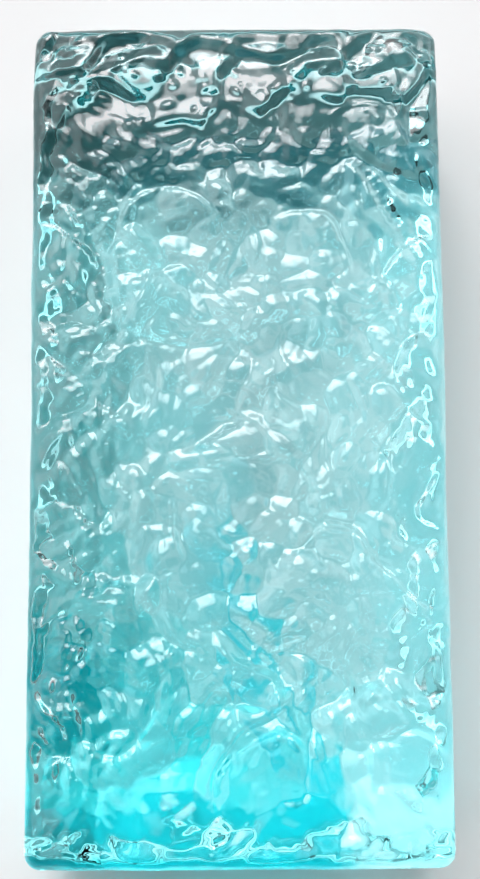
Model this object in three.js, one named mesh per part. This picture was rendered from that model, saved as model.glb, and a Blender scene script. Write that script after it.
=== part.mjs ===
// A solid cast glass brick with a rippled face, lying on its flat face.
//
// Units are millimetres. X runs across the brick, Y along it and Z up, through the rippled face.
// The origin is the middle of the flat face that it rests on.
//
// The brick is one rounded box. The cast face is then raised and lowered by its waves, pebbles,
// tongues, creases and pits, and falls away towards its edges. The walls, which met the cold mould, wander
// a little in and out, and the flat face that the brick stands on stays flat.

import * as THREE from 'three';
import { mergeVertices } from 'three/addons/utils/BufferGeometryUtils.js';

// The brick.
const brickWidth = 98.5;
const brickLength = 200;
const brickThickness = 50;
const edgeRadius = 3.8;

// The relief of the cast face, from the longest waves to the shortest, with the height of each.
// The pebbles are rounded crowns that meet in valleys, and the sharpness is that of the valleys.
const swellWavelength = 34;
const swellHeight = 1;
const rippleWavelength = 11;
const rippleHeight = 2.2;
const pebbleSize = 5.4;
const pebbleHeight = 1.8;
const pebbleMiddle = 0.22;
const valleySharpness = 40;

// The relief is taller by this share towards the near end. The two places are shares of the half
// length, between which the extra comes in.
const nearLiveliness = 0.4;
const livelyStart = 0;
const livelyEnd = 0.5;

// The tongues at the far end, where the poured glass came to rest: broad flats that mostly lean
// towards the far left corner, and that smooth out the rest of the relief. Each slopes by the lean,
// across and along, and by its own share of the spread. The two places are shares of the half
// length, between which the tongues begin.
const tongueSize = 8.5;
const tongueLean = { across: 0.11, along: -0.2 };
const tongueSpread = 0.17;
const tongueSharpness = 7;
const tongueSmoothing = 0.6;
const tongueStart = 0.62;
const tongueEnd = 0.8;

// The relief calms down to this share of its height within this distance of the edges, where the
// glass touched the mould.
const calmDistance = 5;
const calmShare = 0.3;

// The walls took on only the mould's own slow unevenness. It starts above the foot, and ends where
// the skin turns to face up, over this range of the upward part of its direction.
const wallSwellHeight = 0.45;
const wallFootHeight = 16;
const wallTurnStart = 0.05;
const wallTurnEnd = 0.6;

// How far the glass flowed sideways as it set, which bends the relief into folds.
const flows = [
  { wavelength: 27, drift: 4, seed: 1 },
  { wavelength: 11, drift: 1.6, seed: 21 },
];

// How the cast face falls away towards three of its edges, where the glass met the cold mould. The
// fall starts at the reach and ends at the foot, both measured inwards from that edge.
const farFall = { depth: 1.2, reach: 14, foot: 3 };
const leftFall = { depth: 1, reach: 12, foot: 2 };
const rightFall = { depth: 0.8, reach: 9, foot: 2 };

// The creases where one tongue of hot glass lapped over another.
const creaseDepth = 1.4;
const creaseWidth = 3.5;

// The round pits that burst bubbles left. Their places are shares of the half width and half length.
const pits = [
  { across: -0.13, along: 0.808, radius: 2.8, depth: 1 },
  { across: 0.76, along: 0.789, radius: 2.6, depth: 1 },
  { across: -0.83, along: 0.904, radius: 2.2, depth: 0.7 },
  { across: -0.61, along: 0.62, radius: 1.8, depth: 0.5 },
];

// The mesh: the distance between its lines on the cast face and up the walls, and the steps from
// the middle of each rounded edge to where it ends.
const faceMeshStep = 2.35;
const wallMeshStep = 15;
const cornerSteps = 2;

// The steps along each crease at which its groove is measured.
const creaseSteps = 24;

// Each crease runs through three points of the cast face, given as shares of its half width and
// half length, so that the pattern keeps its place when the brick changes size.
const creases = [
  [[0.5, 0.72], [0.78, 0.5], [0.96, 0.33]],
  [[0.84, 0.34], [0.84, 0.16], [0.56, 0.08]],
  [[0.92, 0.12], [0.7, -0.02], [0.62, -0.1]],
  [[-0.4, -0.08], [-0.1, 0.0], [0.1, 0.08]],
  [[-0.24, 0.34], [-0.02, 0.24], [0.2, 0.12]],
  [[0.3, -0.13], [0.42, -0.24], [0.54, -0.2]],
  [[-0.86, 0.6], [-0.62, 0.44], [-0.58, 0.2]],
  [[-0.9, -0.3], [-0.5, -0.36], [-0.22, -0.3]],
  [[-0.1, -0.42], [0.2, -0.5], [0.34, -0.72]],
  [[0.6, -0.5], [0.74, -0.66], [0.92, -0.7]],
];

// The noise. Each wave and pebble has its own seed, so that no two run together.
const latticeTop = 1023;
const noiseGain = 1.5;
const swellSeed = 3;
const rippleSeed = 4;
const pebbleSeed = 5;
const wallSeed = 8;
const tongueChannel = 93;

// A repeatable number from 0 to latticeTop for each corner of the noise's lattice and each channel.
function latticeNumber(x, y, z, channel) {
  let mixed = Math.imul(x, 374761393) + Math.imul(y, 668265263);
  mixed += Math.imul(z, 2246822519) + Math.imul(channel, 3266489917);
  mixed = Math.imul(mixed ^ (mixed >>> 13), 1274126177);
  mixed = Math.imul(mixed ^ (mixed >>> 16), 2654435769);
  return (mixed ^ (mixed >>> 15)) & latticeTop;
}

function fade(t) {
  return t * t * t * (t * (t * 6 - 15) + 10);
}

// Smooth noise in three dimensions, from about -1 to 1, one lump to each unit of distance.
function noise(x, y, z, seed) {
  const [cellX, cellY, cellZ] = [x, y, z].map(Math.floor);
  const [offsetX, offsetY, offsetZ] = [x - cellX, y - cellY, z - cellZ];
  let total = 0;
  for (const i of [0, 1]) {
    for (const j of [0, 1]) {
      for (const k of [0, 1]) {
        const slope = [0, 1, 2].map((channel) => (
          latticeNumber(cellX + i, cellY + j, cellZ + k, seed * 3 + channel) / (latticeTop / 2) - 1
        ));
        const rise = slope[0] * (offsetX - i) + slope[1] * (offsetY - j) + slope[2] * (offsetZ - k);
        const share = fade(1 - Math.abs(offsetX - i)) * fade(1 - Math.abs(offsetY - j))
          * fade(1 - Math.abs(offsetZ - k));
        total += rise * share;
      }
    }
  }
  return total * noiseGain;
}

function waves(point, wavelength, seed) {
  return noise(point.x / wavelength, point.y / wavelength, point.z / wavelength, seed);
}

// Where the glass at a point came from, before it flowed.
function unflowed(point) {
  const source = point.clone();
  for (const { wavelength, drift, seed } of flows) {
    source.x += drift * waves(point, wavelength, seed);
    source.y += drift * waves(point, wavelength, seed + 1);
  }
  return source;
}

// Rounded crowns, one to each cell of a grid and each set somewhere inside its own cell.
function pebbles(point, size, height, seed) {
  const place = point.clone().divideScalar(size);
  const cell = place.clone().floor();
  let total = 0;
  for (const i of [-1, 0, 1]) {
    for (const j of [-1, 0, 1]) {
      for (const k of [-1, 0, 1]) {
        const corner = new THREE.Vector3(cell.x + i, cell.y + j, cell.z + k);
        const [across, along, up] = [0, 1, 2].map((channel) => (
          latticeNumber(corner.x, corner.y, corner.z, seed * 3 + channel) / latticeTop
        ));
        const crown = corner.add(new THREE.Vector3(across, along, up));
        total += Math.exp(-valleySharpness * place.distanceToSquared(crown));
      }
    }
  }
  return height * (pebbleMiddle + Math.log(total) / valleySharpness);
}

// The height of the tongues: each flat leans about its own middle, and blends into its neighbours.
function tonguesAt(point) {
  const [x, y] = [point.x / tongueSize, point.y / tongueSize];
  let height = 0;
  let total = 0;
  for (const i of [-1, 0, 1]) {
    for (const j of [-1, 0, 1]) {
      const [cellX, cellY] = [Math.floor(x) + i, Math.floor(y) + j];
      const shares = [0, 1, 2, 3].map((channel) => (
        latticeNumber(cellX, cellY, 0, tongueChannel + channel) / latticeTop
      ));
      const [awayX, awayY] = [x - cellX - shares[0], y - cellY - shares[1]];
      const leanX = tongueLean.across + tongueSpread * (2 * shares[2] - 1);
      const leanY = tongueLean.along + tongueSpread * (2 * shares[3] - 1);
      const weight = Math.exp(-tongueSharpness * (awayX ** 2 + awayY ** 2));
      height += weight * (awayX * leanX + awayY * leanY);
      total += weight;
    }
  }
  return tongueSize * height / total;
}

// The height of the waves, pebbles and tongues at a point of the cast face.
function rippleAt(point) {
  const source = unflowed(point);
  const swell = swellHeight * waves(point, swellWavelength, swellSeed);
  const ripple = rippleHeight * waves(source, rippleWavelength, rippleSeed);
  const pebble = pebbles(source, pebbleSize, pebbleHeight, pebbleSeed);
  const along = point.y / (brickLength / 2);
  const tongued = THREE.MathUtils.smoothstep(along, tongueStart, tongueEnd);
  const lively = THREE.MathUtils.smoothstep(-along, livelyStart, livelyEnd);
  const liveliness = 1 + nearLiveliness * lively - tongueSmoothing * tongued;
  const relief = liveliness * (swell + ripple + pebble);
  const inside = Math.min(brickWidth / 2 - Math.abs(point.x), brickLength / 2 - Math.abs(point.y));
  const calm = calmShare + (1 - calmShare) * THREE.MathUtils.smoothstep(inside, 0, calmDistance);
  return calm * (relief + tongued * tonguesAt(source));
}

function fallFrom(inside, { depth, reach, foot }) {
  return depth * THREE.MathUtils.smoothstep(-inside, -reach, -foot);
}

function edgeFallAt(point) {
  return fallFrom(brickLength / 2 - point.y, farFall)
    + fallFrom(brickWidth / 2 + point.x, leftFall)
    + fallFrom(brickWidth / 2 - point.x, rightFall);
}

function pitAt(point) {
  let total = 0;
  for (const { across, along, radius, depth } of pits) {
    const [x, y] = [across * brickWidth / 2, along * brickLength / 2];
    const away = Math.hypot(point.x - x, point.y - y) / radius;
    total += depth * Math.max(0, 1 - away ** 2);
  }
  return total;
}

const creaseMiddles = creases.map((bend) => {
  const [start, middle, end] = bend.map(([across, along]) => (
    new THREE.Vector2(across * brickWidth / 2, along * brickLength / 2)
  ));
  return new THREE.QuadraticBezierCurve(start, middle, end).getPoints(creaseSteps);
});

// How deep the creases cut at a point of the cast face: a rounded groove, shallower at its ends.
function creaseAt(point) {
  let depth = 0;
  for (const middles of creaseMiddles) {
    middles.forEach((middle, step) => {
      const distance = Math.hypot(point.x - middle.x, point.y - middle.y);
      const section = Math.exp(-((2 * distance / creaseWidth) ** 2));
      depth = Math.max(depth, creaseDepth * section * Math.sin(Math.PI * step / creaseSteps));
    });
  }
  return depth;
}

// The mesh's lines along one side of the brick: even steps over the flat of the face, and lines
// round each edge that divide its arc evenly.
function meshLines(size, step) {
  const halfFlat = size / 2 - edgeRadius;
  const flatSteps = Math.max(1, Math.round(2 * halfFlat / step));
  const lines = [];
  for (let i = 0; i <= flatSteps; i += 1) {
    lines.push(-halfFlat + 2 * halfFlat * i / flatSteps);
  }
  for (let i = 1; i <= cornerSteps; i += 1) {
    const past = halfFlat + edgeRadius * Math.tan(i / cornerSteps * Math.PI / 4);
    lines.push(past);
    lines.unshift(-past);
  }
  return lines;
}

// Rounds one corner point of the box's mesh, lifts it to the brick's place and ripples it. The cast
// face goes up and down and takes its rounded edges and the tops of the walls with it. The walls go
// in and out.
function skinPoint(boxPoint) {
  const core = new THREE.Vector3(brickWidth, brickLength, brickThickness)
    .multiplyScalar(0.5)
    .subScalar(edgeRadius);
  const centre = boxPoint.clone().clamp(core.clone().negate(), core);
  const outward = boxPoint.clone().sub(centre).normalize();
  const point = centre.addScaledVector(outward, edgeRadius);
  point.z += brickThickness / 2;

  const onWall = 1 - THREE.MathUtils.smoothstep(outward.z, wallTurnStart, wallTurnEnd);
  const aboveFoot = THREE.MathUtils.smoothstep(point.z, 0, wallFootHeight);
  const wallRise = onWall * aboveFoot * wallSwellHeight * waves(point, swellWavelength, wallSeed);
  const faceRise = rippleAt(point) - creaseAt(point) - pitAt(point) - edgeFallAt(point);
  const edgeHeight = brickThickness - edgeRadius;
  const lift = THREE.MathUtils.smoothstep(point.z, brickThickness / 2, edgeHeight);
  point.addScaledVector(outward, wallRise);
  point.z += lift * faceRise;
  return point;
}

// The flat face's outline, one point for each mesh line that meets it, anticlockwise from above.
function flatFaceOutline(linesX, linesY) {
  const [left, right] = [linesX[0], linesX.at(-1)];
  const [near, far] = [linesY[0], linesY.at(-1)];
  return [
    ...linesX.map((x) => new THREE.Vector2(x, near)),
    ...linesY.slice(1).map((y) => new THREE.Vector2(right, y)),
    ...linesX.slice(0, -1).reverse().map((x) => new THREE.Vector2(x, far)),
    ...linesY.slice(1, -1).reverse().map((y) => new THREE.Vector2(left, y)),
  ];
}

// The whole skin as one closed mesh. It starts as a box whose segments are numbered, so that each
// corner of each segment finds its mesh lines. The flat face is one polygon, with no lines across.
function brickGeometry() {
  const linesX = meshLines(brickWidth, faceMeshStep);
  const linesY = meshLines(brickLength, faceMeshStep);
  const linesZ = meshLines(brickThickness, wallMeshStep);
  const segments = [linesX, linesY, linesZ].map((lines) => lines.length - 1);
  const box = new THREE.BoxGeometry(...segments, ...segments);
  const numbered = box.getAttribute('position');
  const positions = [];
  const addCorner = (x, y, z) => {
    const point = skinPoint(new THREE.Vector3(x, y, z));
    positions.push(point.x, point.y, point.z);
  };

  const onFlatFace = (corner) => (
    numbered.getZ(corner) === -segments[2] / 2
    && Math.abs(numbered.getX(corner)) <= segments[0] / 2 - cornerSteps
    && Math.abs(numbered.getY(corner)) <= segments[1] / 2 - cornerSteps
  );
  for (let first = 0; first < box.index.count; first += 3) {
    const corners = [0, 1, 2].map((step) => box.index.getX(first + step));
    if (corners.every(onFlatFace)) continue;
    for (const corner of corners) {
      addCorner(
        linesX[Math.round(numbered.getX(corner) + segments[0] / 2)],
        linesY[Math.round(numbered.getY(corner) + segments[1] / 2)],
        linesZ[Math.round(numbered.getZ(corner) + segments[2] / 2)],
      );
    }
  }

  const flatX = linesX.slice(cornerSteps, -cornerSteps);
  const flatY = linesY.slice(cornerSteps, -cornerSteps);
  const outline = flatFaceOutline(flatX, flatY);
  for (const triangle of THREE.ShapeUtils.triangulateShape(outline, [])) {
    for (const corner of triangle.reverse()) {
      addCorner(outline[corner].x, outline[corner].y, linesZ[0]);
    }
  }

  const skin = new THREE.BufferGeometry();
  skin.setAttribute('position', new THREE.Float32BufferAttribute(positions, 3));
  const closed = mergeVertices(skin);
  closed.computeVertexNormals();
  return closed;
}

const glassMaterial = new THREE.MeshStandardMaterial({
  color: 0x8fdde0,
  roughness: 0.05,
  metalness: 0,
});

const brick = new THREE.Group();
const glassBlock = new THREE.Mesh(brickGeometry(), glassMaterial);
glassBlock.name = 'glass_block';
brick.add(glassBlock);

export default brick;
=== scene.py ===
"""A solid cast glass brick with a rippled face, on pale paper in soft light from its far end.

Lengths are in metres. The brick's skin is built again here on a fine mesh, from the same sizes and
the same ripples as the CAD solid, with the finer relief of its cast face added.
"""

import math

import bpy
import numpy as np
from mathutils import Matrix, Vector


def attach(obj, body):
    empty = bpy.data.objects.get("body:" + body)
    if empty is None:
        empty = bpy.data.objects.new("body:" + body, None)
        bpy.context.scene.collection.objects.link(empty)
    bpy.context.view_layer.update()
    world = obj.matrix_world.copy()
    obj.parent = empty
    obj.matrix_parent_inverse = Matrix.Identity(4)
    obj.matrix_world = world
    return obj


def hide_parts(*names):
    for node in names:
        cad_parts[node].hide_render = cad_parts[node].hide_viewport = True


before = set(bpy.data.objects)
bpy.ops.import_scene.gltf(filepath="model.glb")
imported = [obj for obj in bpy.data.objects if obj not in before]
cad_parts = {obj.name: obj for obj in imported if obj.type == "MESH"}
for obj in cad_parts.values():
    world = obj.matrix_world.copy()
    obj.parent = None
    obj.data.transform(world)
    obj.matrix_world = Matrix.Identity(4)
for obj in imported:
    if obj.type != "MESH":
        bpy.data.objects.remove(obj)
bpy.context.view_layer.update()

MM = 0.001

# The brick, in millimetres, and its relief, as in the CAD solid.
BRICK = np.array([98.5, 200.0, 50.0])
EDGE_RADIUS = 3.8

SWELL_WAVELENGTH = 34.0
SWELL_HEIGHT = 1.0
RIPPLE_WAVELENGTH = 11.0
RIPPLE_HEIGHT = 2.2
PEBBLE_SIZE = 5.4
PEBBLE_HEIGHT = 1.8
PEBBLE_MIDDLE = 0.22
VALLEY_SHARPNESS = 40.0
WALL_SWELL_HEIGHT = 0.45
WALL_FOOT_HEIGHT = 16.0
WALL_TURN = (0.05, 0.6)
# The wavelength and the sideways drift of each flow that bent the relief, and its seed.
FLOWS = [(27.0, 4.0, 1), (11.0, 1.6, 21)]

CREASE_DEPTH = 1.4
CREASE_WIDTH = 3.5
CREASE_STEPS = 24
# The start, bend and end of each crease, as shares of the half width and half length.
CREASES = [
    [[0.5, 0.72], [0.78, 0.5], [0.96, 0.33]],
    [[0.84, 0.34], [0.84, 0.16], [0.56, 0.08]],
    [[0.92, 0.12], [0.7, -0.02], [0.62, -0.1]],
    [[-0.4, -0.08], [-0.1, 0.0], [0.1, 0.08]],
    [[-0.24, 0.34], [-0.02, 0.24], [0.2, 0.12]],
    [[0.3, -0.13], [0.42, -0.24], [0.54, -0.2]],
    [[-0.86, 0.6], [-0.62, 0.44], [-0.58, 0.2]],
    [[-0.9, -0.3], [-0.5, -0.36], [-0.22, -0.3]],
    [[-0.1, -0.42], [0.2, -0.5], [0.34, -0.72]],
    [[0.6, -0.5], [0.74, -0.66], [0.92, -0.7]],
]

# The places are shares of the half length, between which a change comes in.
NEAR_LIVELINESS = 0.4
LIVELY_PLACES = (0.0, 0.5)
TONGUE_SIZE = 8.5
TONGUE_LEAN = np.array([0.11, -0.2])
TONGUE_SPREAD = 0.17
TONGUE_SHARPNESS = 7.0
TONGUE_PLACES = (0.62, 0.8)
TONGUE_SMOOTHING = 0.6
# The depth, reach and foot of the fall towards the far, left and right edge.
EDGE_FALLS = [(1.2, 14.0, 3.0), (1.0, 12.0, 2.0), (0.8, 9.0, 2.0)]
CALM_RIM = 5.0
CALM_SHARE = 0.3
# Across and along as shares of the half width and half length, and then the radius and depth.
PITS = [(-0.13, 0.808, 2.8, 1.0), (0.76, 0.789, 2.6, 1.0), (-0.83, 0.904, 2.2, 0.7), (-0.61, 0.62, 1.8, 0.5)]

# The relief that is too fine for the CAD solid, in millimetres: smaller pebbles, laps, blisters and
# wrinkles. It all settles a little, so that the brick is no taller than the solid.
SMALL_SIZE = 3.0
SMALL_HEIGHT = 0.4
FINE_SIZE = 2.2
FINE_HEIGHT = 0.16
EXTRA_SETTLE = 0.2
# The wavelength, width, depth and seed of each set of laps.
LAPS = [(24.0, 0.4, 1.4, 11), (15.0, 0.35, 0.8, 14)]
LAP_PRESENCE = (-0.2, 0.3)
LAP_PRESENCE_SPREAD = 1.3
LAP_HEALING = 4.0
BLISTER_SPACING = 4.5
BLISTER_HEIGHT = 0.2
BLISTER_RADIUS = 0.12
BLISTER_RADIUS_SPREAD = 0.22
BLISTER_SHARE = 0.5
WRINKLE_WAVELENGTH = 15.0
WRINKLE_WIDTH = 0.6
WRINKLE_HEIGHT = 0.4
WRINKLE_PRESENCE = (-0.1, 0.25)
WRINKLE_PRESENCE_SPREAD = 1.5
WALL_RIPPLE_HEIGHT = 0.07
# The distance from a wave's zero contour, as a share of its wavelength, for each unit of its value.
CONTOUR_SLOPE = 0.7

# The smaller pebbles stand taller by these shares towards the left edge and the far end, between
# these distances from the middle.
LEFT_BUSYNESS = 1.4
LEFT_BUSY_PLACES = (18.0, 34.0)
FAR_BUSYNESS = 0.42
FAR_BUSY_PLACES = (50.0, 70.0)

# By the near edge the finest relief keeps only this share of its height. The ripples and pebbles
# keep that share to these powers, so they calm down less.
NEAR_STILLNESS = 0.3
STILL_PLACES = (0.72, 0.86)
STILL_RIPPLES = 0.2
STILL_PEBBLES = 0.7

# The top value and the gain of the noise, and the seed of each pattern. The solid uses the same ones
# for the relief that they share.
LATTICE_TOP = 1023
NOISE_GAIN = 1.5
SWELL_SEED = 3
RIPPLE_SEED = 4
PEBBLE_SEED = 5
SMALL_SEED = 7
WALL_SEED = 8
FINE_SEED = 9
WALL_RIPPLE_SEED = 9
BLISTER_SEED = 15
WRINKLE_SEED = 17
TONGUE_CHANNEL = 93

# The fine mesh: the distance between its lines on the cast face and up the walls, and the steps
# from the middle of each rounded edge to where it ends.
FACE_MESH_STEP = 0.5
WALL_MESH_STEP = 7.0
CORNER_STEPS = 4


# ---------------------------------------------------------------- the ripples

def lattice_number(x, y, z, channel):
    """A repeatable number from 0 to 1023 for each corner of the noise's lattice."""
    words = [np.asarray(n).astype(np.int64).astype(np.uint32) for n in (x, y, z, channel)]
    factors = np.array([374761393, 668265263, 2246822519, 3266489917], dtype=np.uint32)
    mixed = sum((word * factor for word, factor in zip(words, factors)), np.uint32(0))
    mixed = (mixed ^ (mixed >> np.uint32(13))) * np.uint32(1274126177)
    mixed = (mixed ^ (mixed >> np.uint32(16))) * np.uint32(2654435769)
    return ((mixed ^ (mixed >> np.uint32(15))) & np.uint32(LATTICE_TOP)).astype(float)


def flat_lattice_share(at, channel):
    """A repeatable number from 0 to 1 for each cell of a flat grid."""
    return lattice_number(*at.T, np.zeros(len(at)), channel) / LATTICE_TOP


def fade(t):
    return t * t * t * (t * (t * 6 - 15) + 10)


def smoothstep(value, low, high):
    t = np.clip((value - low) / (high - low), 0, 1)
    return t * t * (3 - 2 * t)


def noise(points, seed):
    """Smooth noise, from about -1 to 1, with one lump to each unit of distance."""
    cell = np.floor(points)
    offset = points - cell
    total = np.zeros(len(points))
    for corner in np.ndindex(2, 2, 2):
        away = offset - corner
        at = cell + corner
        slopes = [2 * lattice_number(*at.T, seed * 3 + axis) / LATTICE_TOP - 1 for axis in range(3)]
        rise = sum(slope * away[:, axis] for axis, slope in enumerate(slopes))
        total += rise * np.prod(fade(1 - np.abs(away)), axis=1)
    return total * NOISE_GAIN


def waves(points, wavelength, seed):
    return noise(points / wavelength, seed)


def unflowed(points):
    """Where the glass at each point came from, before it flowed."""
    source = points.copy()
    for wavelength, drift, seed in FLOWS:
        source[:, 0] += drift * waves(points, wavelength, seed)
        source[:, 1] += drift * waves(points, wavelength, seed + 1)
    return source


def pebbles(points, size, height, seed):
    """Rounded crowns of about that size, which meet in narrow valleys."""
    places = points / size
    cell = np.floor(places)
    total = np.zeros(len(points))
    for step in np.ndindex(3, 3, 3):
        at = cell + np.array(step) - 1
        spots = [lattice_number(*at.T, seed * 3 + axis) / LATTICE_TOP for axis in range(3)]
        away = places - at - np.stack(spots, axis=1)
        total += np.exp(-VALLEY_SHARPNESS * (away ** 2).sum(axis=1))
    crown = -np.log(total) / VALLEY_SHARPNESS
    return height * (PEBBLE_MIDDLE - crown)


def laps(points, wavelength, width, depth, seed):
    """Folds where one sheet of glass lapped over another: a steep step down that heals slowly.
    They follow the contours of a slow wave, and come and go along them."""
    away = waves(points, wavelength, seed) * wavelength * CONTOUR_SLOPE
    presence = smoothstep(waves(points, wavelength * LAP_PRESENCE_SPREAD, seed + 1), *LAP_PRESENCE)
    step = 0.5 + 0.5 * np.tanh(away / width)
    return depth * presence * step * np.exp(-np.maximum(0, away) / (width * LAP_HEALING))


def blisters(points, spacing, height, seed):
    """Low round blisters with a crisp edge, in about half of the cells of a flat grid."""
    cell = np.floor(points[:, :2] / spacing)
    total = np.zeros(len(points))
    for step in np.ndindex(3, 3):
        at = cell + np.array(step) - 1
        across, along, share = (flat_lattice_share(at, seed * 3 + k) for k in range(3))
        middle = (at + np.stack([across, along], axis=1)) * spacing
        radius = spacing * (BLISTER_RADIUS + BLISTER_RADIUS_SPREAD * share)
        away = np.hypot(*(points[:, :2] - middle).T) / radius
        shown = (share * 7) % 1 < BLISTER_SHARE  # the same number, stirred, says which cells have one
        total = np.maximum(total, height * shown * np.clip(1 - away ** 2, 0, 1))
    return total


def wrinkles(points, wavelength, width, height, seed):
    """Thin raised lines along the contours of a slow wave, which come and go."""
    away = np.abs(waves(points, wavelength, seed)) * wavelength * CONTOUR_SLOPE
    presence = smoothstep(waves(points, wavelength * WRINKLE_PRESENCE_SPREAD, seed + 1), *WRINKLE_PRESENCE)
    return height * presence * np.clip(1 - away / width, 0, 1)


def tongues(points):
    """The tongues at the far end, where the poured glass came to rest: broad flats that mostly lean
    towards the far left corner, each with its own lean."""
    places = points[:, :2] / TONGUE_SIZE
    cell = np.floor(places)
    height = np.zeros(len(points))
    total = np.zeros(len(points))
    for step in np.ndindex(3, 3):
        at = cell + np.array(step) - 1
        shares = [flat_lattice_share(at, TONGUE_CHANNEL + k) for k in range(4)]
        away = places - at - np.stack(shares[:2], axis=1)
        weight = np.exp(-TONGUE_SHARPNESS * (away ** 2).sum(axis=1))
        lean = TONGUE_LEAN + TONGUE_SPREAD * (2 * np.stack(shares[2:], axis=1) - 1)
        height += weight * (away * lean).sum(axis=1)
        total += weight
    return TONGUE_SIZE * height / total


def extra_relief(points, source):
    """What is added to the solid's own relief: smaller pebbles, less the laps."""
    busy_left = LEFT_BUSYNESS * smoothstep(-points[:, 0], *LEFT_BUSY_PLACES)
    busy_far = FAR_BUSYNESS * smoothstep(points[:, 1], *FAR_BUSY_PLACES)
    small = pebbles(source, SMALL_SIZE, SMALL_HEIGHT, SMALL_SEED)
    fine = pebbles(source, FINE_SIZE, FINE_HEIGHT, FINE_SEED)
    folds = sum(laps(source, *lap) for lap in LAPS)
    return (1 + np.maximum(busy_left, busy_far)) * (small + fine) - folds


def ripple_at(points):
    """How high the cast face stands above its own plane."""
    source = unflowed(points)
    swell = SWELL_HEIGHT * waves(points, SWELL_WAVELENGTH, SWELL_SEED)
    ripple = RIPPLE_HEIGHT * waves(source, RIPPLE_WAVELENGTH, RIPPLE_SEED)
    pebble = pebbles(source, PEBBLE_SIZE, PEBBLE_HEIGHT, PEBBLE_SEED)
    blister = blisters(source, BLISTER_SPACING, BLISTER_HEIGHT, BLISTER_SEED)
    wrinkle = wrinkles(source, WRINKLE_WAVELENGTH, WRINKLE_WIDTH, WRINKLE_HEIGHT, WRINKLE_SEED)

    along = points[:, 1] / (BRICK[1] / 2)
    tongued = smoothstep(along, *TONGUE_PLACES)
    liveliness = 1 + NEAR_LIVELINESS * smoothstep(-along, *LIVELY_PLACES) - TONGUE_SMOOTHING * tongued
    still = 1 - (1 - NEAR_STILLNESS) * smoothstep(-along, *STILL_PLACES)
    inside = (BRICK[:2] / 2 - np.abs(points[:, :2])).min(axis=1)
    calm = CALM_SHARE + (1 - CALM_SHARE) * smoothstep(inside, 0, CALM_RIM)

    relief = swell + still ** STILL_RIPPLES * ripple + still ** STILL_PEBBLES * pebble
    relief += still * extra_relief(points, source) - EXTRA_SETTLE
    marks = still * ((1 + tongued) * blister + wrinkle)
    return calm * (liveliness * relief + marks + tongued * tongues(source))


def edge_fall_at(points):
    """How far the cast face falls away towards each edge, where the glass met the cold mould."""
    x, y = points[:, 0], points[:, 1]
    half_width, half_length = BRICK[:2] / 2
    insides = (half_length - y, half_width + x, half_width - x)
    return sum(depth * smoothstep(-inside, -reach, -foot)
               for inside, (depth, reach, foot) in zip(insides, EDGE_FALLS))


def pit_at(points):
    """How deep the round pits are, which burst bubbles left."""
    total = np.zeros(len(points))
    for across, along, radius, depth in PITS:
        spot = np.array([across, along]) * BRICK[:2] / 2
        away = np.hypot(*(points[:, :2] - spot).T) / radius
        total += depth * np.clip(1 - away ** 2, 0, 1)
    return total


def crease_at(points):
    """How deep the creases cut at points of the cast face."""
    depth = np.zeros(len(points))
    t = np.linspace(0, 1, CREASE_STEPS + 1)[:, None]
    for bend in CREASES:
        start, middle, end = np.array(bend) * BRICK[:2] / 2
        middles = (1 - t) ** 2 * start + 2 * t * (1 - t) * middle + t ** 2 * end
        for share, spot in zip(np.sin(np.pi * t[:, 0]), middles):
            distance = np.hypot(*(points[:, :2] - spot).T)
            groove = CREASE_DEPTH * share * np.exp(-(2 * distance / CREASE_WIDTH) ** 2)
            depth = np.maximum(depth, groove)
    return depth


# ---------------------------------------------------------------- the skin

def mesh_lines(size, step):
    half_flat = size / 2 - EDGE_RADIUS
    flat = np.linspace(-half_flat, half_flat, max(1, round(2 * half_flat / step)) + 1)
    past = half_flat + EDGE_RADIUS * np.tan(np.arange(1, CORNER_STEPS + 1) / CORNER_STEPS * np.pi / 4)
    return np.concatenate([-past[::-1], flat, past])


def skin_points(box_points):
    """Rounds points of the plain box, lifts them to the brick's place and ripples them. The cast
    face goes up and down and takes its rounded edges and the tops of the walls with it. The walls
    go in and out."""
    core = BRICK / 2 - EDGE_RADIUS
    centre = np.clip(box_points, -core, core)
    outward = box_points - centre
    outward /= np.linalg.norm(outward, axis=1, keepdims=True)
    points = centre + EDGE_RADIUS * outward
    points[:, 2] += BRICK[2] / 2

    on_wall = 1 - smoothstep(outward[:, 2], *WALL_TURN)
    away_from_foot = smoothstep(points[:, 2], 0, WALL_FOOT_HEIGHT)
    wander = WALL_SWELL_HEIGHT * waves(points, SWELL_WAVELENGTH, WALL_SEED)
    wander += WALL_RIPPLE_HEIGHT * waves(points, RIPPLE_WAVELENGTH, WALL_RIPPLE_SEED)
    face_rise = ripple_at(points) - crease_at(points) - pit_at(points) - edge_fall_at(points)
    lift = smoothstep(points[:, 2], BRICK[2] / 2, BRICK[2] - EDGE_RADIUS)
    points += (on_wall * away_from_foot * wander)[:, None] * outward
    points[:, 2] += lift * face_rise
    return points


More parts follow.
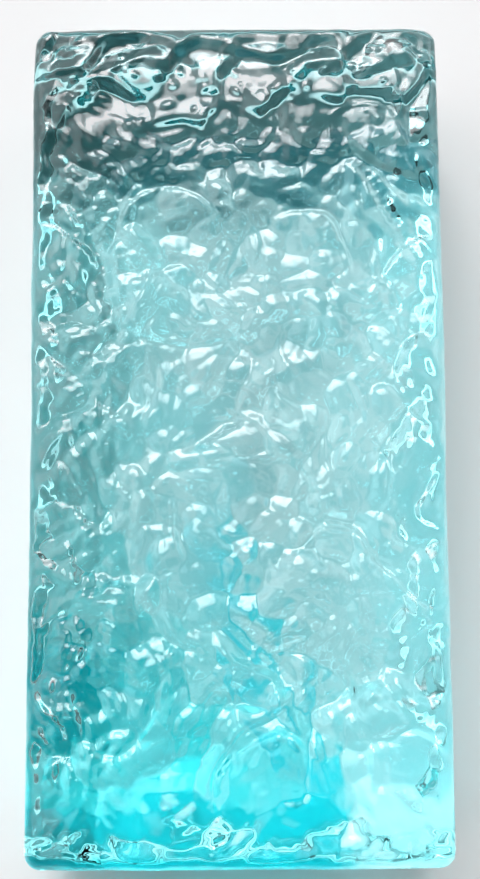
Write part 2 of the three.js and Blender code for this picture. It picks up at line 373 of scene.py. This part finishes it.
def box_skin():
    """The box's corners and faces: five gridded sides, and the flat face as rim and one polygon."""
    lines = [mesh_lines(BRICK[0], FACE_MESH_STEP), mesh_lines(BRICK[1], FACE_MESH_STEP),
             mesh_lines(BRICK[2], WALL_MESH_STEP)]
    last = [len(line) - 1 for line in lines]
    numbers = {}
    corners = []
    faces = []

    def number(i, j, k):
        key = (i, j, k)
        if key not in numbers:
            numbers[key] = len(corners)
            corners.append((lines[0][i], lines[1][j], lines[2][k]))
        return numbers[key]

    def grid(axis, at, flip, keep=lambda a, b: True):
        a_axis, b_axis = [(1, 2), (2, 0), (0, 1)][axis]
        for a in range(last[a_axis]):
            for b in range(last[b_axis]):
                if not keep(a, b):
                    continue
                ring = []
                for da, db in ((0, 0), (1, 0), (1, 1), (0, 1)):
                    place = [0, 0, 0]
                    place[axis] = at
                    place[a_axis] = a + da
                    place[b_axis] = b + db
                    ring.append(number(*place))
                faces.append(ring[::-1] if flip else ring)

    def on_rim(a, b):
        inside_a = CORNER_STEPS <= a < last[0] - CORNER_STEPS
        inside_b = CORNER_STEPS <= b < last[1] - CORNER_STEPS
        return not (inside_a and inside_b)

    grid(0, last[0], False)
    grid(0, 0, True)
    grid(1, last[1], False)
    grid(1, 0, True)
    grid(2, last[2], False)
    grid(2, 0, True, on_rim)
    low, high_x, high_y = CORNER_STEPS, last[0] - CORNER_STEPS, last[1] - CORNER_STEPS
    loop = [number(low, j, 0) for j in range(low, high_y)]
    loop += [number(i, high_y, 0) for i in range(low, high_x)]
    loop += [number(high_x, j, 0) for j in range(high_y, low, -1)]
    loop += [number(i, low, 0) for i in range(high_x, low, -1)]
    faces.append(loop)
    return np.array(corners), faces


def make_brick():
    corners, faces = box_skin()
    mesh = bpy.data.meshes.new("glass_brick")
    mesh.from_pydata((skin_points(corners) * MM).tolist(), [], faces)
    mesh.polygons.foreach_set("use_smooth", [True] * len(mesh.polygons))
    mesh.update()
    brick = bpy.data.objects.new("glass_brick", mesh)
    bpy.context.scene.collection.objects.link(brick)
    return brick


# ---------------------------------------------------------------- shader nodes

def add_node(tree, kind, inputs=(), **settings):
    """A new node. Each input is a number, a colour or another node's output."""
    node = tree.nodes.new(kind)
    for name, value in settings.items():
        setattr(node, name, value)
    for place, value in dict(inputs).items():
        if isinstance(value, bpy.types.NodeSocket):
            tree.links.new(value, node.inputs[place])
        else:
            node.inputs[place].default_value = value
    return node


def add_math(tree, operation, *values):
    return add_node(tree, "ShaderNodeMath", enumerate(values), operation=operation).outputs[0]


def add_ramp(tree, value, low, high, start=0.0, end=1.0):
    """A smooth step from start to end as the value rises from low to high."""
    inputs = enumerate((value, low, high, start, end))
    return add_node(tree, "ShaderNodeMapRange", inputs, interpolation_type="SMOOTHSTEP").outputs[0]


def add_noise(tree, places, wavelength, detail=2.0, distortion=0.0):
    """Noise from 0 to 1, whose lumps are about one wavelength apart, in metres."""
    inputs = {"Vector": places, "Scale": 1 / wavelength, "Detail": detail, "Distortion": distortion}
    return add_node(tree, "ShaderNodeTexNoise", inputs).outputs[0]


def add_mix(tree, share, first, second):
    node = add_node(tree, "ShaderNodeMix", {0: share}, data_type="RGBA")
    for socket, value in ((node.inputs[6], first), (node.inputs[7], second)):
        if isinstance(value, bpy.types.NodeSocket):
            tree.links.new(value, socket)
        else:
            socket.default_value = (*value, 1)
    return node.outputs[2]


def add_chain(tree, operation, first, *others):
    for value in others:
        first = add_math(tree, operation, first, value)
    return first


def add_sum(tree, *values):
    return add_chain(tree, "ADD", *values)


def add_product(tree, *values):
    return add_chain(tree, "MULTIPLY", *values)


def add_vector_math(tree, operation, first, second):
    place = "Scale" if operation == "SCALE" else 1
    return add_node(tree, "ShaderNodeVectorMath", {0: first, place: second}, operation=operation)


# ---------------------------------------------------------------- the glass

# The tints of the glass at its surface. The shaded tint and the teal one are painted shade, not colours of
# the glass.
CLEAR_GLASS = (0.92, 0.94, 0.945)
MINT_GLASS = (0.82, 0.89, 0.90)
# A darker tint that paints shade into the glass.
PAINTED_SHADE_TINT = (0.48, 0.79, 0.82)
CYAN_GLASS = (0.12, 0.88, 0.91)
DEEP_GLASS = (0.0, 0.80, 0.89)
RIM_GLASS = (0.02, 0.66, 0.72)
# A dark teal that paints the shade of the far end.
PAINTED_SHADE_TEAL = (0.22, 0.58, 0.64)
PALE_GLASS = (0.80, 1.0, 1.0)
# Inside the glass, what the colour lacks is absorbed, at the density for each metre.
INSIDE_COLOUR = (0.38, 0.96, 0.98)
INSIDE_DENSITY = 7.0
GLASS_IOR = 1.52

# Where the tints lie, in metres from the middle of the brick's foot. Each pair is where a tint starts
# and where it is full, across, along or up the brick.
TINT_SWIRLS = [(0.030, 0.016), (0.009, 0.005)]
TINT_RISE = (0.05, 0.0, 0.45, 1.0)
MINT_ALONG = (-0.02, -0.07)
# Painted shade: mottling in place of the light and shade that the ripples focus onto the paper.
CAUSTIC_SHADE_SIZE = 0.012
CAUSTIC_SHADE_CONTRAST = (0.42, 0.62)
CAUSTIC_SHADE_ACROSS = (-0.040, -0.020, 0.0, 0.75)
# Painted shade along the right wall's foot, which dims the paper that light reflected off the wall lights
# twice.
RIGHT_SHADE_ACROSS = (0.035, 0.045)
RIGHT_SHADE_STRENGTH = 0.75
# Painted shade at the far end, where the paper under the glass lies in shadow.
FAR_SHADE_ALONG = (0.062, 0.080)
FAR_SHADE_ACROSS = (-0.042, -0.024)
FAR_RIM_ALONG = (0.082, 0.088)
# The edge of the cyan runs from the first x to the second between two places along the brick.
COLOUR_EDGE = (-0.100, -0.010, 0.024, -0.030)
CYAN_PAST_EDGE = (-0.024, 0.032)
CYAN_ALONG = (0.05, -0.06, 0.75, 1.0)
WISP_SIZE = 0.015
WISP_DRAW = (1.0, 0.45, 1.0)
WISP_CONTRAST = (0.3, 0.7, 0.3, 1.15)
STREAK_MIDDLE = (-0.105, -0.015, 0.020, -0.004)
STREAK_OFF_MIDDLE = (0.009, 0.0)
STREAK_ALONG = (-0.005, -0.030)
DEEP_SPOT = (-0.041, -0.063, 0.0)
DEEP_SPOT_RADII = (0.022, 0.004)
DEEP_STRENGTH = 0.9
NEAR_FOOT_ALONG = (-0.0885, -0.0915)
NEAR_FOOT_RISE = (0.030, 0.010)
NEAR_RIM_ALONG = (-0.0955, -0.0975)
NEAR_RIM_PAST_EDGE = (-0.004, 0.004)


def add_swirl(tree, places, wavelength, reach):
    """The same places, dragged about by as much as the reach, in metres."""
    lumps = add_node(tree, "ShaderNodeTexNoise", {"Vector": places, "Scale": 1 / wavelength, "Detail": 2.0})
    drag = add_vector_math(tree, "SUBTRACT", lumps.outputs[1], (0.5, 0.5, 0.5)).outputs[0]
    drag = add_vector_math(tree, "SCALE", drag, reach * 2).outputs[0]
    return add_vector_math(tree, "ADD", places, drag).outputs[0]


def add_cyan(tree, swirled, past_edge):
    """Cyan left of the edge of the colour, in wisps that are drawn out along the brick."""
    y = add_node(tree, "ShaderNodeSeparateXYZ", {0: swirled}).outputs[1]
    drawn = add_vector_math(tree, "MULTIPLY", swirled, WISP_DRAW).outputs[0]
    wisps = add_ramp(tree, add_noise(tree, drawn, WISP_SIZE, 3.0, 0.8), *WISP_CONTRAST)
    past, along = add_ramp(tree, past_edge, *CYAN_PAST_EDGE), add_ramp(tree, y, *CYAN_ALONG)
    return add_product(tree, past, wisps, along)


def add_deep(tree, swirled):
    """A deeper streak up the middle of the near half, and a deeper spot near the left corner."""
    x, y, _ = add_node(tree, "ShaderNodeSeparateXYZ", {0: swirled}).outputs
    off_middle = add_math(tree, "SUBTRACT", x, add_ramp(tree, y, *STREAK_MIDDLE))
    streak = add_ramp(tree, add_math(tree, "ABSOLUTE", off_middle), *STREAK_OFF_MIDDLE)
    streak = add_product(tree, streak, add_ramp(tree, y, *STREAK_ALONG), DEEP_STRENGTH)
    off_spot = add_vector_math(tree, "DISTANCE", swirled, DEEP_SPOT).outputs["Value"]
    return add_math(tree, "MAXIMUM", streak, add_ramp(tree, off_spot, *DEEP_SPOT_RADII))


def add_near_rim(tree, places, past_edge):
    """The near rim of the cast face and the foot below it, where the cyan reaches them."""
    _, y, z = add_node(tree, "ShaderNodeSeparateXYZ", {0: places}).outputs
    foot = add_product(tree, add_ramp(tree, y, *NEAR_FOOT_ALONG), add_ramp(tree, z, *NEAR_FOOT_RISE))
    either = add_math(tree, "MAXIMUM", foot, add_ramp(tree, y, *NEAR_RIM_ALONG))
    return add_product(tree, add_ramp(tree, past_edge, *NEAR_RIM_PAST_EDGE), either)


def add_tint(tree, places):
    """The uneven colour: cyan down the brick's left side and across its near end, with a deeper
    streak, and nearly clear elsewhere. Painted shade goes with it: mottling in place of the caustic
    light and shade on the paper, a darker strip along the right wall, and a dark teal far end where
    the paper under the glass lies in shadow. It lies low in the glass."""
    swirled = places
    for wavelength, reach in TINT_SWIRLS:
        swirled = add_swirl(tree, swirled, wavelength, reach)
    x, y, _ = add_node(tree, "ShaderNodeSeparateXYZ", {0: swirled}).outputs
    z = add_node(tree, "ShaderNodeSeparateXYZ", {0: places}).outputs[2]
    low = add_ramp(tree, z, *TINT_RISE)
    past_edge = add_math(tree, "SUBTRACT", add_ramp(tree, y, *COLOUR_EDGE), x)

    # Painted shade in mottled blotches, in place of the caustic light and shade on the paper.
    caustic_shade = add_ramp(tree, add_noise(tree, swirled, CAUSTIC_SHADE_SIZE, 2.0, 1.0), *CAUSTIC_SHADE_CONTRAST)
    caustic_shade = add_product(tree, caustic_shade, low, add_ramp(tree, x, *CAUSTIC_SHADE_ACROSS))
    # Painted shade along the right wall.
    right = add_product(tree, add_ramp(tree, x, *RIGHT_SHADE_ACROSS), low, RIGHT_SHADE_STRENGTH)
    # Painted shade over the far end, where the paper under the glass lies in shadow.
    far = add_product(tree, add_ramp(tree, y, *FAR_SHADE_ALONG), low, add_ramp(tree, x, *FAR_SHADE_ACROSS))
    far_rim = add_product(tree, add_ramp(tree, y, *FAR_RIM_ALONG), low)
    layers = [
        (add_ramp(tree, y, *MINT_ALONG), MINT_GLASS),
        (caustic_shade, PAINTED_SHADE_TINT),
        (right, PAINTED_SHADE_TINT),
        (far, PAINTED_SHADE_TEAL),
        (far_rim, PALE_GLASS),
        (add_product(tree, add_cyan(tree, swirled, past_edge), low), CYAN_GLASS),
        (add_product(tree, add_deep(tree, swirled), low, DEEP_STRENGTH), DEEP_GLASS),
        (add_near_rim(tree, places, past_edge), RIM_GLASS),
    ]
    tint = CLEAR_GLASS
    for share, colour in layers:
        tint = add_mix(tree, share, tint, colour)
    return tint


def make_glass():
    glass = bpy.data.materials.new("aqua_glass")
    glass.use_nodes = True
    tree = glass.node_tree
    places = add_node(tree, "ShaderNodeTexCoord").outputs["Object"]
    shader = tree.nodes["Principled BSDF"]
    tree.links.new(add_tint(tree, places), shader.inputs["Base Color"])
    shader.inputs["Roughness"].default_value = 0.0
    shader.inputs["IOR"].default_value = GLASS_IOR
    shader.inputs["Transmission Weight"].default_value = 1
    inside = {"Color": (*INSIDE_COLOUR, 1), "Density": INSIDE_DENSITY}
    absorption = add_node(tree, "ShaderNodeVolumeAbsorption", inside)
    tree.links.new(absorption.outputs[0], tree.nodes["Material Output"].inputs["Volume"])
    return glass


# ---------------------------------------------------------------- the stage

# The paper lies just under the brick. The camera sees it a little darker than the glass does.
PAPER_HALF_WIDTH = 3.0
PAPER_DROP = 0.0003
PAPER_COLOUR = (0.665, 0.70, 0.70)
SEEN_PAPER_COLOUR = (0.595, 0.627, 0.63)


def make_stage():
    half = PAPER_HALF_WIDTH
    corners = [(x, y, -PAPER_DROP) for x, y in ((-half, -half), (half, -half), (half, half), (-half, half))]
    mesh = bpy.data.meshes.new("paper")
    mesh.from_pydata(corners, [], [(0, 1, 2, 3)])
    paper = bpy.data.objects.new("paper", mesh)
    bpy.context.scene.collection.objects.link(paper)
    material = bpy.data.materials.new("paper")
    material.use_nodes = True
    tree = material.node_tree
    shader = tree.nodes["Principled BSDF"]
    seen = add_node(tree, "ShaderNodeLightPath").outputs["Is Camera Ray"]
    tree.links.new(add_mix(tree, seen, PAPER_COLOUR, SEEN_PAPER_COLOUR), shader.inputs["Base Color"])
    shader.inputs["Roughness"].default_value = 0.9
    shader.inputs["Specular IOR Level"].default_value = 0.2
    mesh.materials.append(material)


# The light, as directions round the brick: azimuth is counted from +Y towards -X, in degrees.
# A lamp stands past the brick's far end, a little to the left, with a flare round it and a wide soft
# halo above it. A second soft patch hangs high at the left. The walls at the far end and at both
# sides are pale, and the ceiling and the near side of the room are dim. A patch is even in its core
# and fades out at its radius.
LIGHT_COLOUR = (1.0, 0.94, 0.945)
BACKDROP_COLOUR = (0.80, 0.805, 0.81)
KEY_AZIMUTH = 12
KEY_ELEVATION = 36
KEY_DISTANCE = 1.3
KEY_SIZE = (0.6, 0.35)
KEY_RADIANCE = 5
FLARE_RADIUS = 22
FLARE_CORE = 2
FLARE_RADIANCE = 3.0
HALO_AZIMUTH = 9
HALO_ELEVATION = 45
HALO_RADIUS = 26
HALO_CORE = 8
HALO_RADIANCE = 8.0
FAR_RADIANCE = 2.3
LEFT_RADIANCE = 1.0
SIDE_AZIMUTH = 80
SIDE_ELEVATION = 50
SIDE_RADIUS = 32
SIDE_CORE = 4
SIDE_RADIANCE = 1.9
RIGHT_RADIANCE = 0.5
NEAR_RADIANCE = 0.05
HORIZON_RADIANCE = 0.42


def direction(azimuth, elevation):
    azimuth, elevation = math.radians(azimuth), math.radians(elevation)
    flat = math.cos(elevation)
    return Vector((-math.sin(azimuth) * flat, math.cos(azimuth) * flat, math.sin(elevation)))


def add_facing(tree, ray, toward):
    return add_vector_math(tree, "DOT_PRODUCT", ray, toward).outputs["Value"]


def add_glow(tree, ray, toward, radius, core, radiance):
    """A round patch of light that is even in its core and fades out towards its radius."""
    edges = [math.cos(math.radians(angle)) for angle in (radius, core)]
    return add_ramp(tree, add_facing(tree, ray, toward), *edges, 0.0, radiance)


def make_world():
    """A room that is bright past the brick's far end and dim above and behind the camera, with a
    plain backdrop wherever the camera sees past the paper."""
    world = bpy.data.worlds.new("room")
    bpy.context.scene.world = world
    world.use_nodes = True
    tree = world.node_tree
    ray = add_node(tree, "ShaderNodeTexCoord").outputs["Generated"]
    to_halo = direction(HALO_AZIMUTH, HALO_ELEVATION)
    to_key = direction(KEY_AZIMUTH, KEY_ELEVATION)
    to_side = direction(SIDE_AZIMUTH, SIDE_ELEVATION)
    halo = add_glow(tree, ray, to_halo, HALO_RADIUS, HALO_CORE, HALO_RADIANCE)
    flare = add_glow(tree, ray, to_key, FLARE_RADIUS, FLARE_CORE, FLARE_RADIANCE)
    patch = add_glow(tree, ray, to_side, SIDE_RADIUS, SIDE_CORE, SIDE_RADIANCE)

    across, along, up = (add_facing(tree, ray, axis) for axis in ((1, 0, 0), (0, 1, 0), (0, 0, 1)))
    below_ceiling = add_ramp(tree, up, 0.8, 0.35)
    above_horizon = add_ramp(tree, up, 0.06, 0.28, 0.0, 1.0)
    far = add_product(tree, add_ramp(tree, along, 0.0, 0.45, 0.0, FAR_RADIANCE), above_horizon)
    left = add_ramp(tree, across, -0.4, -0.85, 0.0, LEFT_RADIANCE)
    right = add_ramp(tree, across, 0.4, 0.85, 0.0, RIGHT_RADIANCE)
    sides = add_product(tree, add_sum(tree, left, right), add_ramp(tree, along, -0.4, 0.1))
    walls = add_product(tree, add_sum(tree, far, sides), below_ceiling)
    near = add_ramp(tree, up, 0.35, 0.0, NEAR_RADIANCE, HORIZON_RADIANCE)
    strength = add_sum(tree, halo, flare, patch, walls, near)
    seen = add_node(tree, "ShaderNodeLightPath").outputs["Is Camera Ray"]
    shader = tree.nodes["Background"]
    tree.links.new(add_mix(tree, seen, LIGHT_COLOUR, BACKDROP_COLOUR), shader.inputs["Color"])
    tree.links.new(add_ramp(tree, seen, 0.0, 1.0, strength, 1.0), shader.inputs["Strength"])


def make_key():
    """The lamp: a wide soft light, up past the brick's far end."""
    lamp = bpy.data.lights.new("key", "AREA")
    lamp.shape = "RECTANGLE"
    lamp.size, lamp.size_y = KEY_SIZE
    lamp.color = LIGHT_COLOUR
    lamp.energy = KEY_RADIANCE * math.pi * KEY_SIZE[0] * KEY_SIZE[1]
    holder = bpy.data.objects.new("key", lamp)
    away = direction(KEY_AZIMUTH, KEY_ELEVATION)
    holder.location = away * KEY_DISTANCE
    holder.rotation_euler = away.to_track_quat("Z", "Y").to_euler()
    bpy.context.scene.collection.objects.link(holder)


# The camera, solved from the brick's outline in the photo. The focal length is in the photo's pixels.
SENSOR_HEIGHT = 24
PHOTO_HEIGHT = 879
FOCAL_LENGTH = 1281.3
CAMERA_PLACE = (-0.0013, -0.0367, 0.3468)
CAMERA_TURN = (6.69, -0.30, -0.32)


def make_camera():
    data = bpy.data.cameras.new("camera")
    data.sensor_fit = "VERTICAL"
    data.sensor_height = SENSOR_HEIGHT
    data.lens = FOCAL_LENGTH / PHOTO_HEIGHT * SENSOR_HEIGHT
    camera = bpy.data.objects.new("camera", data)
    camera.location = CAMERA_PLACE
    camera.rotation_euler = [math.radians(angle) for angle in CAMERA_TURN]
    bpy.context.scene.collection.objects.link(camera)
    bpy.context.scene.camera = camera


brick = make_brick()
brick.data.materials.append(make_glass())
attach(brick, "root")
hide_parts("glass_block")
make_stage()
make_world()
make_key()
make_camera()

bpy.context.scene.view_settings.view_transform = "Standard"
# Without this, the lights seen through the glass would be blurred away.
bpy.context.scene.cycles.blur_glossy = 0.0
